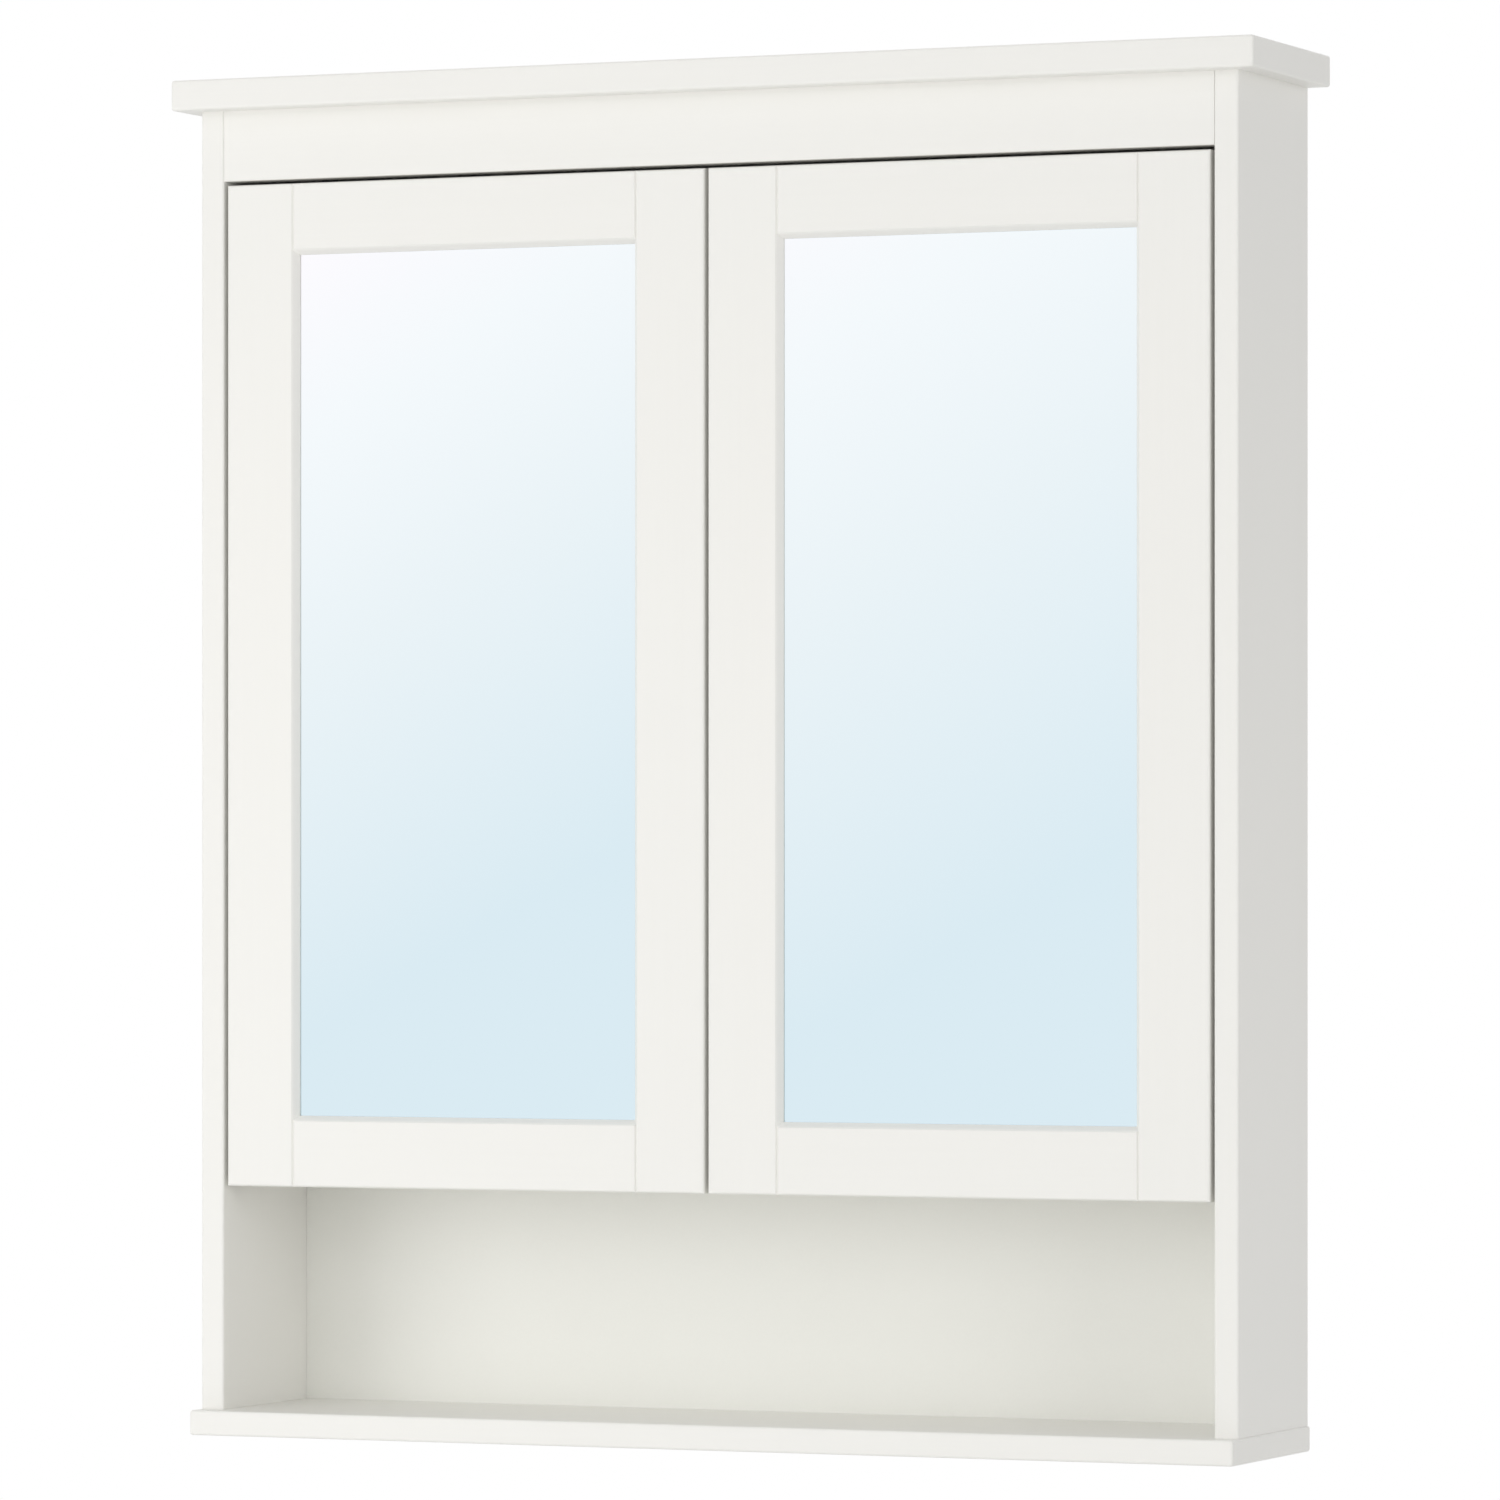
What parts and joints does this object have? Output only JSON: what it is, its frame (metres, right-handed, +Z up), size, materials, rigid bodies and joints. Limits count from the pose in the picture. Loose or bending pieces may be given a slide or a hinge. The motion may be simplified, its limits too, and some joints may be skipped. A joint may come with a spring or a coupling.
{
  "type": "hanging wall cabinet",
  "caption": "White wall-hung bathroom cabinet with framed mirror doors on concealed hinges, glass shelves inside and an open shelf below.",
  "frame": {"origin": "midway between the two wall-screw holes, on the wall plane", "axes": "+X to the right seen from the front, +Y into the wall, +Z up; the doors face -Y"},
  "size_m": [0.83, 0.16, 0.98],
  "materials": {
    "white_paint": "white satin stain on solid wood, faint grain",
    "white_board": "white painted hardboard",
    "mirror_glass": "silvered 4 mm glass",
    "clear_glass": "tempered clear glass",
    "nickelled_steel": "nickel-plated pressed steel",
    "zinc": "die-cast zinc",
    "beech": "raw beech",
    "clear_bumper": "soft translucent plastic",
    "white_plastic": "white moulded plastic"
  },
  "bodies": {
    "cabinet": {"back_panel": "white_board", "base_panel": "white_paint", "base_screws": "nickelled_steel", "cam_bolts": "nickelled_steel", "cam_locks": "zinc", "carcass_dowels": "beech", "cupboard_floor": "white_paint", "door_bumpers": "clear_bumper", "hinge_arm_screws": "nickelled_steel", "hinge_plate_screws": "nickelled_steel", "left_hinge_arms": "nickelled_steel", "left_hinge_plates": "nickelled_steel", "left_side_panel": "white_paint", "lower_glass_shelf": "clear_glass", "rear_hanging_rail": "white_paint", "right_hinge_arms": "nickelled_steel", "right_hinge_plates": "nickelled_steel", "right_side_panel": "white_paint", "shelf_pins": "nickelled_steel", "top_front_rail": "white_paint", "top_panel": "white_paint", "upper_glass_shelf": "clear_glass"},
    "left_door": {"left_door_backing_board": "white_board", "left_door_backing_clips": "white_plastic", "left_door_bottom_rail": "white_paint", "left_door_clip_screws": "nickelled_steel", "left_door_dowels": "beech", "left_door_free_stile": "white_paint", "left_door_hinge_stile": "white_paint", "left_door_mirror": "mirror_glass", "left_door_top_rail": "white_paint", "left_hinge_cup_screws": "nickelled_steel", "left_hinge_cups": "nickelled_steel", "left_hinge_pins": "nickelled_steel", "left_hinge_springs": "nickelled_steel"},
    "right_door": {"right_door_backing_board": "white_board", "right_door_backing_clips": "white_plastic", "right_door_bottom_rail": "white_paint", "right_door_clip_screws": "nickelled_steel", "right_door_dowels": "beech", "right_door_free_stile": "white_paint", "right_door_hinge_stile": "white_paint", "right_door_mirror": "mirror_glass", "right_door_top_rail": "white_paint", "right_hinge_cup_screws": "nickelled_steel", "right_hinge_cups": "nickelled_steel", "right_hinge_pins": "nickelled_steel", "right_hinge_springs": "nickelled_steel"}
  },
  "joints": [
    {"name": "left_door_hinge", "type": "hinge", "parent": "cabinet", "child": "left_door", "pos_m": [-0.36598, -0.1345, -0.343], "axis": [0, 0, -1], "range_deg": [0, 95]},
    {"name": "right_door_hinge", "type": "hinge", "parent": "cabinet", "child": "right_door", "pos_m": [0.36598, -0.1345, -0.343], "axis": [0, 0, 1], "range_deg": [0, 95]}
  ]
}
